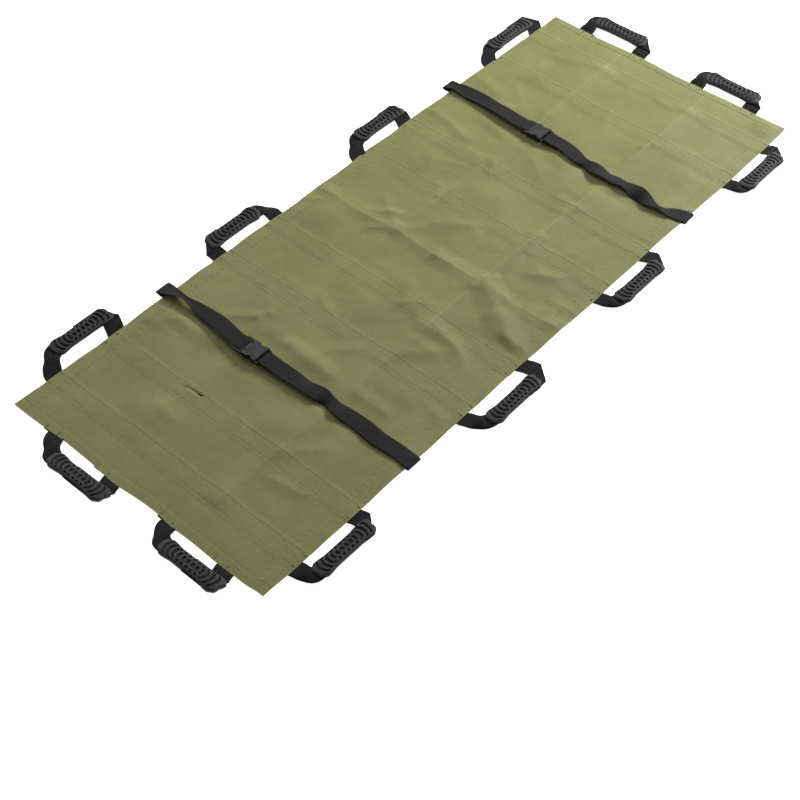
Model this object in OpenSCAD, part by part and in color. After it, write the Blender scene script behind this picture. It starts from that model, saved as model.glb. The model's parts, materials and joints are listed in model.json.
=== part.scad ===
// Folding soft stretcher: a hemmed fabric sheet over cross webbings, twelve carrying
// handles with moulded grips, and two patient straps with side-release buckles.
// X runs along the sheet from the foot end (-X) to the head end (+X), Y runs across it,
// Z is up, and the origin is on the floor under the middle of the sheet.
// The sheet lies open and flat; it folds upwards at three pairs of crease lines.

/* [Sheet] */
// Length of the fabric sheet
sheet_l = 1800; // [1760:10:1840]
// Width of the fabric sheet
sheet_w = 700; // [660:10:760]
// Thickness of the coated fabric
sheet_t = 1; // [0.8:0.1:1.2]

/* [Creases] */
// Width of the crease band at the middle of the sheet
centre_crease_w = 120; // [120:2:130]
// Width of the two crease bands that carry the straps
strap_crease_w = 56; // [54:1:56]
// Distance from the middle of the sheet to the near edge of a strap's crease band
strap_crease_x = 458; // [450:1:466]

/* [Webbing] */
// Thickness of all the webbing
webbing_t = 1.6; // [1.4:0.1:1.8]
// Width of all the webbing
webbing_w = 38; // [34:1:38]

/* [Handles] */
// Distance from the middle of the sheet to the outer side handles
outer_handle_x = 725; // [700:5:740]
// Distance from the middle of the sheet to the inner side handles
inner_handle_x = 235; // [215:5:260]
// Distance from the centre line to an end handle
end_handle_y = 165; // [160:5:170]
// Distance between the two legs of a handle
leg_spacing = 150; // [140:2:156]
// Length of a moulded grip
grip_l = 150; // [130:5:160]
// Width of a grip along its waist
grip_w = 38; // [37:1:42]
// Width of a grip's flared ends
grip_end_w = 42; // [41:1:46]
// Thickness of a grip
grip_t = 14; // [12:0.5:16]
// Distance from a handle's fold line to the middle of its grip
grip_reach = 44; // [43:1:48]

/* [Straps] */
// Distance from the middle of the sheet to the middle of a strap
strap_x = 482; // [482:0.5:484]
// Distance from the centre line to the middle of the buckle
buckle_y = 89; // [60:1:110]
// Height of the middle of the buckle above the floor
buckle_z = 11; // [10.5:0.5:12]
// Width of the buckle's receiver
receiver_w = 46; // [45:1:46]
// Length of the receiver's shell
receiver_l = 36; // [35:1:37]
// Thickness of the receiver's shell
receiver_t = 12; // [11:0.5:13]

/* [Hidden] */

$fn = 48;

// Colours
olive = [0.50, 0.53, 0.31];
black = [0.08, 0.08, 0.09];
charcoal = [0.18, 0.18, 0.19];
rubber = [0.24, 0.24, 0.25];

// Heights: the webbing lies under the sheet, and the folds turn about the sheet's top
sheet_z = webbing_t;
fold_z = sheet_z + sheet_t;
// Gap between neighbouring pieces of the sheet
seam_gap = 0.2;
// Edges of the crease bands, from the middle of the sheet outwards
centre_edge = centre_crease_w / 2;
strap_edge_in = strap_crease_x;
strap_edge_out = strap_crease_x + strap_crease_w;
sheet_end = sheet_l / 2;
sheet_side = sheet_w / 2;

// A handle turns about its legs' round ends, a little above and outside the hem
hinge_out = 2.5;
hinge_z = fold_z + webbing_t / 2;
// The grip's section is a flat bar with half-round edges
grip_edge_r = grip_t / 2;
grip_low_reach = grip_reach - grip_end_w / 2 + grip_edge_r;
// At rest the handle tilts up from its fold line until the grip lies on the floor
rest_tilt = asin((grip_edge_r - hinge_z) / grip_low_reach);
// Cross webbings and end tabs run a little past the hem, under the handles' legs
webbing_overhang = hinge_out + webbing_t / 2;
tab_l = 40;

// A leg's edges where it leaves the hem, and the band's edges where it enters the grip
leg_in = leg_spacing / 2 - webbing_w / 2;
leg_out = leg_spacing / 2 + webbing_w / 2;
band_w = webbing_w - 4;
band_in = grip_reach - band_w / 2;
band_out = grip_reach + band_w / 2;
grip_mouth = grip_l / 2 + 1;
band_end = grip_l / 2 - 6;

// A handle's own frame: u runs along the hem, which is +X on the left side, and r runs
// outwards from the fold line. Lean is how far along u the grip lies off its legs' middle.
grip_near_edge = grip_reach - grip_end_w / 2;
function leaned(p, lean) = [p[0] + lean * min(1, p[1] / grip_near_edge), p[1]];

// Points on a cubic curve
function curve(a, b, c, d, steps) = [
    for (i = [0 : steps])
        let (t = i / steps, s = 1 - t)
        s * s * s * a + 3 * s * s * t * b + 3 * s * t * t * c + t * t * t * d
];

// A smooth leg bends round in its own plane
function curved_leg() = concat(
    curve([leg_out, 0], [leg_out + 18, 14], [leg_out + 18, band_out - 4], [grip_mouth, band_out], 12),
    [[band_end, band_out], [band_end, band_in]],
    curve([grip_mouth, band_in], [grip_mouth, band_in - 12], [leg_in + 4, 14], [leg_in, 0], 6)
);

// A folded leg turns its corner over a diagonal fold
function folded_leg() = [
    [leg_out, 0],
    [leg_out + 10, band_in + 2],
    [grip_mouth + 9, band_out],
    [band_end, band_out],
    [band_end, band_in],
    [grip_mouth, band_in],
    [grip_mouth, grip_near_edge],
    [leg_in, 0]
];

// Offsets a path of points by half the thickness to each side, which makes a ribbon
function unit(v) = v / norm(v);
function turned(v) = [-v[1], v[0]];
function path_normal(p, i) =
    let (last = len(p) - 1)
    let (a = unit(p[min(i + 1, last)] - p[min(i, last - 1)]))
    let (b = unit(p[max(i, 1)] - p[max(i - 1, 0)]))
    let (n = unit(turned(a) + turned(b)))
    n / max(0.5, n * turned(a));
function ribbon(p, t) = concat(
    [for (i = [0 : len(p) - 1]) p[i] + path_normal(p, i) * t / 2],
    [for (i = [len(p) - 1 : -1 : 0]) p[i] - path_normal(p, i) * t / 2]
);

// Buckle, in its own frame: v runs along the strap towards the plug side
plug_gap = 0.3;
shell_back = -25;
shell_front = shell_back + receiver_l;
bar_r = 1.8;
receiver_bar_v = shell_back - 6.5;
cavity_w = 38;
cavity_t = 7;
cavity_back = shell_back + 4;
notch_v = -9;
notch_r = 10;
window_back = notch_v - 6.5;
window_front = notch_v + 6;
plug_front = shell_front + plug_gap;
plug_block_l = 5.7;
ladder_inner_v = plug_front + 12.2;
ladder_outer_v = plug_front + 20.7;
rail_in = webbing_w / 2 + 1;
rail_out = rail_in + 3.5;
arm_pivot_w = 12.5;
arm_pivot_v = plug_front + 1.7;
arm_pivot_r = 2.5;
arm_t = 6;

// Places along a strap: [distance across the sheet, height of the webbing's middle]
strap_tab_y = sheet_side - 60;
left_wrap_y = sheet_side + 22;
right_wrap_y = sheet_side + 5;
under_z = webbing_t / 2;
over_z = fold_z + 2.6;
bar_lift = bar_r + 0.3 + webbing_t / 2;

// The left half comes over the sheet, then threads through the plug's two bars
function left_path() = concat(
    [
        [strap_tab_y, under_z],
        [left_wrap_y, under_z],
        [left_wrap_y + 2.2, (under_z + over_z) / 2],
        [left_wrap_y, over_z],
        [sheet_side - 20, 8],
        [sheet_side - 50, 6.4],
        [sheet_side - 110, 12],
        [sheet_side - 160, 16]
    ],
    [for (p = [
        [52, 3.2], [ladder_outer_v + 2, bar_lift + 0.1], [ladder_outer_v - 3, bar_lift],
        [ladder_outer_v - 4.2, 0.6], [ladder_outer_v - 5.4, -bar_lift],
        [ladder_inner_v - 2.4, -bar_lift], [ladder_inner_v - 4.2, -0.6],
        [ladder_inner_v - 3.6, bar_lift - 0.4], [ladder_inner_v + 0.6, bar_lift + 0.1],
        [ladder_inner_v + 4.2, bar_lift + 2], [ladder_outer_v + 1.5, bar_lift + 2.1]
    ]) [p[0] + buckle_y, p[1] + buckle_z]]
);

// The right half comes over the sheet and is sewn round the receiver's bar
function right_path() = concat(
    [
        [-strap_tab_y, under_z],
        [-right_wrap_y, under_z],
        [-right_wrap_y - 2.2, (under_z + over_z) / 2],
        [-right_wrap_y, over_z],
        [-sheet_side + 40, 6.4],
        [-sheet_side + 93, 12],
        [-sheet_side + 150, 7],
        [-sheet_side + 220, 14],
        [-sheet_side + 290, 8]
    ],
    [for (p = [
        [-72, 1.2], [receiver_bar_v - 3.5, bar_lift], [receiver_bar_v, bar_lift],
        [receiver_bar_v + 2, bar_lift - 0.8], [receiver_bar_v + bar_lift, 0],
        [receiver_bar_v + 2, -bar_lift + 0.8], [receiver_bar_v, -bar_lift],
        [receiver_bar_v - 6, -bar_lift + 0.6], [-70, -0.8]
    ]) [p[0] + buckle_y, p[1] + buckle_z]]
);

// ---- Sheet ----

module sheet_piece(x0, x1) {
    color(olive)
        translate([x0 + seam_gap / 2, -sheet_side, sheet_z])
            cube([x1 - x0 - seam_gap, sheet_w, sheet_t]);
}

module cross_webbing(x) {
    y = sheet_side + webbing_overhang;
    color(black)
        translate([x - webbing_w / 2, -y, 0])
            cube([webbing_w, 2 * y, webbing_t]);
}

// The two short tabs that hold an end handle: end is -1 at the foot and 1 at the head
module end_tabs(end, y) {
    l = tab_l + webbing_overhang;
    color(black)
        for (leg = [-1, 1])
            translate([end * (sheet_end + webbing_overhang - l / 2), y + leg * leg_spacing / 2, webbing_t / 2])
                cube([l, webbing_w, webbing_t], center = true);
}

// ---- Handles ----

// Puts a handle on its fold line: turn 0 is the left hem, 90 the foot hem,
// 180 the right hem and -90 the head hem
module on_hem(turn, along) {
    reach = (turn == 0 || turn == 180) ? sheet_side : sheet_end;
    rotate([0, 0, turn])
        translate([along, reach + hinge_out, hinge_z])
            rotate([rest_tilt, 0, 0])
                children();
}

module leg(side, folded, lean) {
    outline = folded ? folded_leg() : curved_leg();
    linear_extrude(webbing_t, center = true)
        polygon([for (p = outline) leaned([side * p[0], p[1]], lean)]);
    translate([side * leg_spacing / 2, 0, 0])
        rotate([0, 90, 0])
            cylinder(h = webbing_w, r = webbing_t / 2, center = true);
}

module handle_loop(turn, along, lean, folded_side) {
    color(black)
        on_hem(turn, along) {
            leg(-1, folded_side == -1, lean);
            leg(1, folded_side == 1, lean);
            translate([lean, grip_reach, 0])
                cube([2 * band_end, band_w, webbing_t], center = true);
        }
}

module flat_bar(w, t, l) {
    rotate([90, 0, 90])
        linear_extrude(l, center = true) {
            square([w - t, t], center = true);
            for (side = [-1, 1])
                translate([side * (w - t) / 2, 0])
                    circle(d = t);
        }
}

module grip(turn, along, lean) {
    collar_l = 22;
    color(rubber)
        on_hem(turn, along)
            translate([lean, grip_reach, 0])
                difference() {
                    union() {
                        flat_bar(grip_w, grip_t, grip_l);
                        for (side = [-1, 1])
                            translate([side * (grip_l - collar_l) / 2, 0, 0])
                                flat_bar(grip_end_w, grip_t, collar_l);
                    }
                    cube([grip_l + 2, band_w + 0.6, webbing_t + 0.4], center = true);
                }
}

// ---- Straps ----

module strap_half(side, path) {
    color(charcoal)
        translate([side * strap_x - webbing_w / 2, 0, 0])
            rotate([90, 0, 90])
                linear_extrude(webbing_w)
                    polygon(ribbon(path, webbing_t));
}

// ---- Buckles ----

module at_buckle(side) {
    translate([side * strap_x, buckle_y, buckle_z])
        children();
}

module receiver(side) {
    color(charcoal)
        at_buckle(side) {
            difference() {
                translate([-receiver_w / 2, shell_back, -receiver_t / 2])
                    cube([receiver_w, receiver_l, receiver_t]);
                translate([-cavity_w / 2, cavity_back, -cavity_t / 2])
                    cube([cavity_w, receiver_l, cavity_t]);
                translate([-receiver_w / 2 - 1, window_back, -cavity_t / 2])
                    cube([receiver_w + 2, window_front - window_back, cavity_t]);
                for (end = [-1, 1])
                    translate([end * (cavity_w / 2 + notch_r), notch_v, 0])
                        cylinder(h = receiver_t + 2, r = notch_r, center = true);
            }
            for (end = [-1, 1])
                translate([end * (rail_in + 1.5), (receiver_bar_v + shell_back) / 2, 0])
                    cube([3, shell_back - receiver_bar_v + 2 * bar_r, 2 * bar_r + 2], center = true);
            translate([0, receiver_bar_v, 0])
                rotate([0, 90, 0])
                    cylinder(h = 2 * rail_in + 2, r = bar_r, center = true);
        }
}

// The plug: a block that shuts the receiver's mouth, a guide prong, and the two bars
// that the adjustable half of the strap threads through
module plug(side) {
    block_t = 8;
    color(charcoal)
        at_buckle(side) {
            difference() {
                translate([-cavity_w / 2 - 2, plug_front, -block_t / 2])
                    cube([cavity_w + 4, plug_block_l, block_t]);
                for (end = [-1, 1])
                    translate([end * arm_pivot_w, arm_pivot_v, 0]) {
                        cylinder(h = block_t + 2, r = arm_pivot_r + plug_gap, center = true);
                        translate([-arm_pivot_r - plug_gap, -5, -block_t / 2 - 1])
                            cube([2 * (arm_pivot_r + plug_gap), 5, block_t + 2]);
                    }
            }
            translate([-4, cavity_back + 2, -2.5])
                cube([8, plug_front - cavity_back, 5]);
            for (end = [-1, 1])
                translate([end * (rail_in + rail_out) / 2, (plug_front + ladder_outer_v) / 2 + 2, 0])
                    cube([rail_out - rail_in, ladder_outer_v - plug_front, 6], center = true);
            for (v = [ladder_inner_v, ladder_outer_v])
                translate([0, v, 0])
                    rotate([0, 90, 0])
                        cylinder(h = 2 * rail_in + 2, r = bar_r, center = true);
        }
}

// A latch arm: its round root turns in the plug's block, and its head catches
// behind the front edge of the receiver's side window
module latch_arm(side, arm) {
    head = window_front - 0.5;
    color(charcoal)
        at_buckle(side)
            mirror([arm < 0 ? 1 : 0, 0, 0])
                linear_extrude(arm_t, center = true) {
                    translate([arm_pivot_w, arm_pivot_v])
                        circle(r = arm_pivot_r);
                    polygon([
                        [13.8, head],
                        [14.6, window_back + 0.9],
                        [17.4, window_back + 0.5],
                        [20.6, notch_v],
                        [21.2, head],
                        [17.4, head + 0.3],
                        [arm_pivot_w + 1.8, arm_pivot_v + 0.6],
                        [arm_pivot_w - 1.8, arm_pivot_v + 0.6]
                    ]);
                }
}

sheet_piece(-sheet_end, -strap_edge_out);  // sheet_foot_end
sheet_piece(-strap_edge_out, -strap_edge_in);  // sheet_foot_crease
sheet_piece(-strap_edge_in, -centre_edge);  // sheet_foot_middle
sheet_piece(-centre_edge, centre_edge);  // sheet_centre_crease
sheet_piece(centre_edge, strap_edge_in);  // sheet_head_middle
sheet_piece(strap_edge_in, strap_edge_out);  // sheet_head_crease
sheet_piece(strap_edge_out, sheet_end);  // sheet_head_end

cross_webbing(-outer_handle_x - leg_spacing / 2);  // cross_webbing_1
cross_webbing(-outer_handle_x + leg_spacing / 2);  // cross_webbing_2
cross_webbing(-inner_handle_x - leg_spacing / 2);  // cross_webbing_3
cross_webbing(-inner_handle_x + leg_spacing / 2);  // cross_webbing_4
cross_webbing(inner_handle_x - leg_spacing / 2);  // cross_webbing_5
cross_webbing(inner_handle_x + leg_spacing / 2);  // cross_webbing_6
cross_webbing(outer_handle_x - leg_spacing / 2);  // cross_webbing_7
cross_webbing(outer_handle_x + leg_spacing / 2);  // cross_webbing_8

end_tabs(-1, end_handle_y);  // end_tabs_foot_left
end_tabs(-1, -end_handle_y);  // end_tabs_foot_right
end_tabs(1, end_handle_y);  // end_tabs_head_left
end_tabs(1, -end_handle_y);  // end_tabs_head_right

handle_loop(0, -outer_handle_x, 42, 1);  // loop_left_1
handle_loop(0, -inner_handle_x, -6, -1);  // loop_left_2
handle_loop(0, inner_handle_x, 18, 1);  // loop_left_3
handle_loop(0, outer_handle_x, 25, 1);  // loop_left_4
handle_loop(180, outer_handle_x, 3, -1);  // loop_right_1
handle_loop(180, inner_handle_x, -8, -1);  // loop_right_2
handle_loop(180, -inner_handle_x, 10, -1);  // loop_right_3
handle_loop(180, -outer_handle_x, 5, -1);  // loop_right_4
handle_loop(90, end_handle_y, -57, -1);  // loop_foot_left
handle_loop(90, -end_handle_y, -41, -1);  // loop_foot_right
handle_loop(-90, -end_handle_y, -10, 1);  // loop_head_left
handle_loop(-90, end_handle_y, 3, 1);  // loop_head_right

grip(0, -outer_handle_x, 42);  // grip_left_1
grip(0, -inner_handle_x, -6);  // grip_left_2
grip(0, inner_handle_x, 18);  // grip_left_3
grip(0, outer_handle_x, 25);  // grip_left_4
grip(180, outer_handle_x, 3);  // grip_right_1
grip(180, inner_handle_x, -8);  // grip_right_2
grip(180, -inner_handle_x, 10);  // grip_right_3
grip(180, -outer_handle_x, 5);  // grip_right_4
grip(90, end_handle_y, -57);  // grip_foot_left
grip(90, -end_handle_y, -41);  // grip_foot_right
grip(-90, -end_handle_y, -10);  // grip_head_left
grip(-90, end_handle_y, 3);  // grip_head_right

strap_half(-1, left_path());  // foot_strap_left
strap_half(-1, right_path());  // foot_strap_right
strap_half(1, left_path());  // head_strap_left
strap_half(1, right_path());  // head_strap_right

receiver(-1);  // foot_receiver
receiver(1);  // head_receiver
plug(-1);  // foot_plug
plug(1);  // head_plug
latch_arm(-1, 1);  // foot_latch_arm_in
latch_arm(-1, -1);  // foot_latch_arm_out
latch_arm(1, -1);  // head_latch_arm_in
latch_arm(1, 1);  // head_latch_arm_out
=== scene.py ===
"""Looks of the folding stretcher: fabric, webbing, grips, straps and buckles round the CAD frame."""

import json
import math

import bpy
import numpy as np
from mathutils import Matrix, Vector


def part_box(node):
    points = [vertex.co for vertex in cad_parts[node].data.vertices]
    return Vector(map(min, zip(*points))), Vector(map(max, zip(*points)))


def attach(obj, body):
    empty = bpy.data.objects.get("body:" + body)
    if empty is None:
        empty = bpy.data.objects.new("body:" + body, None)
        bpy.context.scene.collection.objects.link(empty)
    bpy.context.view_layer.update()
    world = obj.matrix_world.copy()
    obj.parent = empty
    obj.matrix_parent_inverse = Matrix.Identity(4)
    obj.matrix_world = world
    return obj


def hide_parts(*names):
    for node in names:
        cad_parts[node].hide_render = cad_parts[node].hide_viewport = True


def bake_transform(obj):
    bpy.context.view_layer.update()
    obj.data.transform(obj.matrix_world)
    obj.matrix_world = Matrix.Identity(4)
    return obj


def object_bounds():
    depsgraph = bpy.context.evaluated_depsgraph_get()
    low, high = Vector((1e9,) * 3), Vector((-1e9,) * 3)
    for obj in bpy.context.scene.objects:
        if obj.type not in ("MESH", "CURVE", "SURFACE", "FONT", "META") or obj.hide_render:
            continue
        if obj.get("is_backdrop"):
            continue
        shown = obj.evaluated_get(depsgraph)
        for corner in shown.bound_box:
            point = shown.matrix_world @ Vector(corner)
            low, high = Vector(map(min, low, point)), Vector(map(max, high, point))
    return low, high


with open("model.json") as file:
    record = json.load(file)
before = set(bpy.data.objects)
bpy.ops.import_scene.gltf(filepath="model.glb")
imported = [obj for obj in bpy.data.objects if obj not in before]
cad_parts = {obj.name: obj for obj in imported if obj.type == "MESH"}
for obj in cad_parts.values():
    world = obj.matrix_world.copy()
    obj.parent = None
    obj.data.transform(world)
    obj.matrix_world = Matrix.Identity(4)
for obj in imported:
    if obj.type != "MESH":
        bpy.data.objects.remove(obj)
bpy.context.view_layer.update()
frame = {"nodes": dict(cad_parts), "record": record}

MM = 0.001
HALF_X, HALF_Y = 900.0, 350.0      # half of the open sheet, in mm
CLOTH = 0.8                        # thickness of the coated fabric
HEM_Y, HEM_X = 317.0, 878.0        # the hems' stitch lines
BANDS = [s * c for c in (160, 310, 650, 800) for s in (-1, 1)]     # middle lines of the cross webbings
SEAMS = [band + s * 17.0 for band in BANDS for s in (-1, 1)]       # and their stitch lines
STRAP_X = 482.0                    # the straps' middle lines, which are the end folds' too
UNDER_Z, UNDER_THICK = 0.85, 1.4   # middle and thickness of the webbing under the sheet
WEBBING = 38.0                     # width of all the webbing
HINGE_OUT, HINGE_Z = 2.5, 3.4      # handle hinge, outside the hem and above the floor
LEG = 75.0                         # from a handle's middle to its leg
EDGE_R, EDGE_OUT = 7.0, 30.0       # a grip's rounded inner edge, which lies on the floor, and its distance out
TILT = math.asin((EDGE_R - HINGE_Z) / EDGE_OUT)
PANELS = (                         # from, to, the bodies it bends between, and where
    ("foot_end", -900, -486, "foot_crease", "foot_end", -494, -514),
    ("foot_inner", -486, -293, "foot_middle", "foot_crease", -458, -478),
    ("foot_middle", -293, 0, "foot_middle", "centre_crease", -60, -25),
    ("head_middle", 0, 293, "centre_crease", "head_middle", 25, 60),
    ("head_inner", 293, 486, "head_middle", "head_crease", 458, 478),
    ("head_end", 486, 900, "head_crease", "head_end", 494, 514),
)
# name, turn, along, lean, folded leg and panel; where the curved and the folded leg leave the hem,
# the folded corner, and the reach outwards
HANDLES = (
    ("left_1", 0, -725, 42, 1, "foot_end", -74, 97, 117, 47),
    ("left_2", 0, -235, -6, -1, "foot_middle", 90, -86, -89, 40.5),
    ("left_3", 0, 235, 18, 1, "head_middle", -102, 68, 88, 43.5),
    ("left_4", 0, 725, 25, 1, "head_end", -98, 92, 117, 34.5),
    ("right_1", 180, 725, 3, -1, "foot_end", 92, -70, -74, 41),
    ("right_2", 180, 235, -8, -1, "foot_middle", 94, -101, -107, 48),
    ("right_3", 180, -235, 10, -1, "head_middle", 104, -72, -77, 40),
    ("right_4", 180, -725, 5, -1, "head_end", 88, -79, -81, 39.5),
    ("foot_left", 90, 165, -57, -1, "foot_end", 60, -109, -127, 42.5),
    ("foot_right", 90, -165, -41, -1, "foot_end", 62, -91, -106, 42),
    ("head_left", -90, -165, -10, 1, "head_end", -87, 75, 75, 49),
    ("head_right", -90, 165, 3, 1, "head_end", -75, 77, 77, 42),
)


# ---------------------------------------------------------------- materials

def fed(tree, made, values):
    """The node made, its inputs linked to the sockets in values, or set to the numbers and colours."""
    for slot, value in values.items():
        if isinstance(value, bpy.types.NodeSocket):
            tree.links.new(value, made.inputs[slot])
        elif value is not None:
            made.inputs[slot].default_value = value
    return made


def nodes_of(name, **inputs):
    """A new material, its node tree and its shader."""
    mat = bpy.data.materials.new(name)
    mat.use_nodes = True
    shader = mat.node_tree.nodes["Principled BSDF"]
    fed(mat.node_tree, shader, {key.replace("_", " "): value for key, value in inputs.items()})
    return mat, mat.node_tree, shader


def node(tree, kind, values=None, **settings):
    made = tree.nodes.new(kind)
    for key, value in settings.items():
        setattr(made, key, value)
    return fed(tree, made, values or {})


def math_node(tree, operation, a, b=None):
    return node(tree, "ShaderNodeMath", {0: a, 1: b}, operation=operation).outputs[0]


def mixed(tree, share, a, b):
    """A colour mix: share, a and b are sockets or values."""
    return node(tree, "ShaderNodeMix", {0: share, 6: a, 7: b}, data_type="RGBA").outputs[2]


def noise(tree, vector, scale, detail=3.0, roughness=0.55):
    values = {"Scale": scale, "Detail": detail, "Roughness": roughness, "Vector": vector}
    return node(tree, "ShaderNodeTexNoise", values).outputs[0]


def ranged(tree, value, low, high, to_low=0.0, to_high=1.0):
    return node(tree, "ShaderNodeMapRange", {0: value, 1: low, 2: high, 3: to_low, 4: to_high}).outputs[0]


def scaled(tree, value, factor):
    return math_node(tree, "MULTIPLY", value, factor)


def attribute(tree, name):
    return node(tree, "ShaderNodeAttribute", attribute_name=name).outputs["Fac"]


def bumped(tree, shader, height, distance, strength=1.0, normal=None):
    values = {"Distance": distance, "Strength": strength, "Height": height, "Normal": normal}
    made = node(tree, "ShaderNodeBump", values).outputs[0]
    fed(tree, shader, {"Normal": made})
    return made


def lighter(colour, factor):
    return tuple(c * factor for c in colour[:3]) + (1,)


def uv_axes(tree):
    """The UV map, which holds millimetres along and across the cloth, and its two axes."""
    uv = node(tree, "ShaderNodeUVMap", uv_map="cloth").outputs[0]
    split = node(tree, "ShaderNodeSeparateXYZ", {0: uv})
    return uv, split.outputs[0], split.outputs[1]


def threads(tree, along, across, pitch):
    """Height of a plain weave: two sets of rounded threads that go over each other in turn."""
    a = math_node(tree, "SINE", scaled(tree, along, math.pi / pitch))
    b = math_node(tree, "SINE", scaled(tree, across, math.pi / pitch))
    ribs = math_node(tree, "ADD", math_node(tree, "ABSOLUTE", a), math_node(tree, "ABSOLUTE", b))
    return math_node(tree, "ADD", scaled(tree, scaled(tree, a, b), 0.35), scaled(tree, ribs, 0.4))


def stretched(tree, along, across, along_scale, across_scale):
    """Noise drawn out into streaks along one of the cloth's axes."""
    values = {0: scaled(tree, along, along_scale), 1: scaled(tree, across, across_scale)}
    return noise(tree, node(tree, "ShaderNodeCombineXYZ", values).outputs[0], 1.0, 2.0)


def cloth_material():
    mat, tree, shader = nodes_of("olive_oxford_cloth", Roughness=0.7, Specular_IOR_Level=0.10)
    uv, along, across = uv_axes(tree)
    broad = noise(tree, uv, 0.006, 3.0)
    fine = noise(tree, uv, 0.35, 2.0)
    streaks = stretched(tree, along, across, 0.02, 1.1)
    wefts = stretched(tree, along, across, 0.6, 0.02)
    base = mixed(tree, ranged(tree, broad, 0.35, 0.65), (0.128, 0.132, 0.051, 1), (0.151, 0.155, 0.0625, 1))
    base = mixed(tree, ranged(tree, fine, 0.3, 0.7, 0.0, 0.16), base, (0.120, 0.130, 0.045, 1))
    base = mixed(tree, ranged(tree, streaks, 0.45, 0.75, 0.0, 0.22), base, (0.240, 0.248, 0.104, 1))
    base = mixed(tree, ranged(tree, wefts, 0.45, 0.75, 0.0, 0.20), base, (0.088, 0.094, 0.031, 1))
    # the crests of the packing creases and the cut edges are made lighter: rubbed wear and a painted highlight
    patchy = ranged(tree, noise(tree, uv, 0.09, 4.0), 0.35, 0.7, 0.25, 0.75)
    rubbed_and_lit = scaled(tree, scaled(tree, attribute(tree, "wear_and_highlight"), patchy), 0.55)
    base = mixed(tree, rubbed_and_lit, base, (0.300, 0.308, 0.140, 1))
    # painted shade: the cloth is darker along the stitch lines and the hems' lines, in the sewn grooves
    base = mixed(tree, attribute(tree, "shade"), base, (0.110, 0.120, 0.042, 1))
    fed(tree, shader, {"Base Color": base, "Roughness": ranged(tree, fine, 0.2, 0.8, 0.56, 0.70)})
    soft = bumped(tree, shader, noise(tree, uv, 0.03, 4.0, 0.6), 0.0035, 0.35)
    bumped(tree, shader, threads(tree, along, across, 0.62), 0.00012, 0.55, soft)
    return mat


def webbing_material(name, dark, light, pitch=1.3):
    mat, tree, shader = nodes_of(name, Roughness=0.80, Specular_IOR_Level=0.07)
    uv, along, across = uv_axes(tree)
    # herringbone: slanting ribs that change direction every 5 mm across the band
    fold = math_node(tree, "PINGPONG", across, 5.0)
    slant = math_node(tree, "ADD", along, scaled(tree, fold, 0.8))
    ribs, warp = (math_node(tree, "ABSOLUTE", math_node(tree, "SINE", scaled(tree, way, math.pi / gap)))
                  for way, gap in ((slant, pitch), (across, 0.9)))
    height = math_node(tree, "ADD", ribs, scaled(tree, warp, 0.5))
    fuzz = noise(tree, uv, 0.8, 3.0)
    base = mixed(tree, ranged(tree, height, 0.3, 1.4, 0.0, 1.0), dark, light)
    base = mixed(tree, ranged(tree, fuzz, 0.5, 0.8, 0.0, 0.35), base, lighter(light, 1.6))
    fed(tree, shader, {"Base Color": base, "Roughness": ranged(tree, fuzz, 0.2, 0.8, 0.6, 0.8)})
    bumped(tree, shader, height, 0.00035, 0.8)
    return mat


def rubber_material():
    mat, tree, shader = nodes_of("grip_rubber_moulded", Roughness=0.7, Specular_IOR_Level=0.16)
    place = node(tree, "ShaderNodeTexCoord").outputs["Object"]
    grain = noise(tree, place, 900.0, 2.0)
    broad = noise(tree, place, 40.0, 3.0)
    face = mixed(tree, ranged(tree, broad, 0.35, 0.65), (0.017, 0.017, 0.0178, 1), (0.029, 0.029, 0.030, 1))
    # painted shade: the moulded recesses are coloured near black, as the shade in the pits
    base = mixed(tree, attribute(tree, "pit"), face, (0.0008, 0.0008, 0.0009, 1))
    fed(tree, shader, {"Base Color": base, "Roughness": ranged(tree, broad, 0.3, 0.7, 0.60, 0.76)})
    bumped(tree, shader, grain, 0.00008, 0.5)
    return mat


def plastic_material():
    mat, tree, shader = nodes_of("buckle_acetal", Roughness=0.5, Specular_IOR_Level=0.35)
    place = node(tree, "ShaderNodeTexCoord").outputs["Object"]
    broad = noise(tree, place, 60.0, 3.0)
    base = mixed(tree, ranged(tree, broad, 0.35, 0.65), (0.0095, 0.009, 0.0115, 1), (0.017, 0.0165, 0.020, 1))
    fed(tree, shader, {"Base Color": base, "Roughness": ranged(tree, broad, 0.3, 0.7, 0.36, 0.5)})
    bumped(tree, shader, noise(tree, place, 1600.0, 2.0), 0.00006, 0.5)
    return mat


def thread_material(name, tone):
    mat, tree, shader = nodes_of(name, Roughness=0.55, Sheen_Weight=0.2)
    place = node(tree, "ShaderNodeTexCoord").outputs["Object"]
    base = mixed(tree, noise(tree, place, 500.0, 2.0), tone, lighter(tone, 1.7))
    fed(tree, shader, {"Base Color": base})
    bumped(tree, shader, noise(tree, place, 2500.0, 1.0), 0.0001, 0.5)
    return mat


CLOTH_MAT = cloth_material()
WEBBING_MAT = webbing_material("black_webbing", (0.0022, 0.0022, 0.0024, 1), (0.0090, 0.0090, 0.0098, 1))
STRAP_MAT = webbing_material("strap_webbing_woven", (0.0050, 0.0044, 0.0046, 1),
                             (0.0180, 0.0162, 0.0168, 1), pitch=1.6)
RUBBER_MAT = rubber_material()
PLASTIC_MAT = plastic_material()
OLIVE_THREAD = thread_material("olive_thread", (0.150, 0.155, 0.062, 1))
BLACK_THREAD = thread_material("black_thread", (0.010, 0.010, 0.010, 1))


# ---------------------------------------------------------------- mesh helpers

def outwards(verts, groups):
    """The faces of a closed mesh, turned to look outwards."""
    volume = 0.0
    for g in groups:
        for k in range(1, g.shape[1] - 1):
            a, b, c = verts[g[:, 0]], verts[g[:, k]], verts[g[:, k + 1]]
            volume += float(np.sum(a * np.cross(b, c)))
    return [g[:, ::-1] for g in groups] if volume < 0 else groups


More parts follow.
